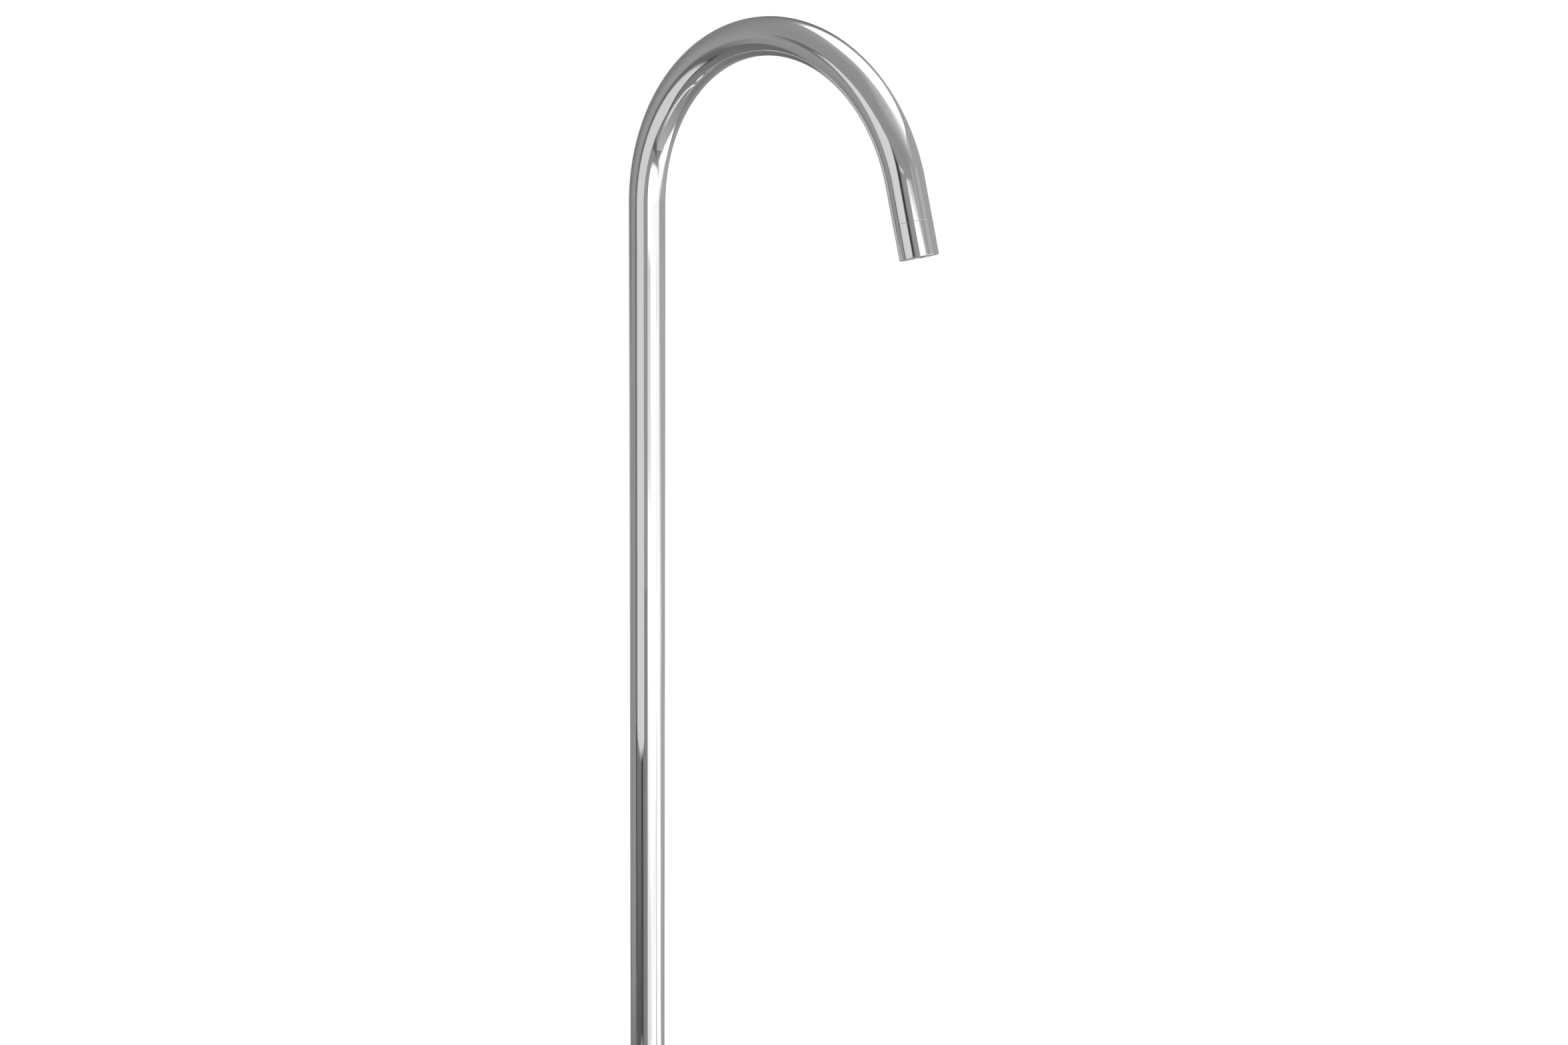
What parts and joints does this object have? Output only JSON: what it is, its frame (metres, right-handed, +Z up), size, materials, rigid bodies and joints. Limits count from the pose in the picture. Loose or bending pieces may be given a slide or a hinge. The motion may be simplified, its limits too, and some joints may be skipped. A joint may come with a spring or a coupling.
{
  "type": "floor standing bath filler",
  "caption": "Floor standing bath spout: a tall chromed riser tube bent into a gooseneck, with a round sliding floor cover and a flow straightener in the nose.",
  "frame": {"origin": "the riser's axis in the plane of the floor", "axes": "+Z up along the riser, +X towards the outlet with the swivel at rest, the arch in the XZ plane"},
  "size_m": [0.3122, 0.116, 1],
  "materials": {
    "chromed_tube": "polished chrome plate on brass",
    "chromed_cover": "polished chrome plate on brass",
    "bare_brass": "turned brass",
    "steel_plate": "turned stainless steel",
    "steel_screw": "bright stainless steel",
    "steel_screen": "fine etched stainless steel",
    "black_rubber": "matt black rubber",
    "white_plastic": "natural acetal",
    "grey_plastic": "moulded grey acetal"
  },
  "bodies": {
    "base": {"floor_gasket": "black_rubber", "base_plate": "steel_plate", "inlet_spigot": "bare_brass", "spigot_screws": "steel_screw", "lower_bearing": "white_plastic", "upper_bearing": "white_plastic", "lower_o_ring": "black_rubber", "upper_o_ring": "black_rubber", "thrust_washer": "white_plastic"},
    "cover": {"cover_flange": "chromed_cover", "cover_o_ring": "black_rubber"},
    "spout": {"riser_socket": "bare_brass", "spout_tube": "chromed_tube", "stop_screw": "steel_screw", "nose_adapter": "bare_brass", "nose_o_ring": "black_rubber", "outlet_nose": "chromed_tube", "straightener_washer": "black_rubber", "filter_screen": "steel_screen", "straightener_grid": "grey_plastic", "straightener_housing": "grey_plastic"}
  },
  "joints": [
    {"name": "spout_swivel", "type": "hinge", "parent": "base", "child": "spout", "pos_m": [0, 0, 0.0175], "axis": [0, 0, 1], "range_deg": [-90, 90]},
    {"name": "cover_lift", "type": "slide", "parent": "base", "child": "cover", "axis": [0, 0, 1], "range_m": [0, 0.84]}
  ]
}
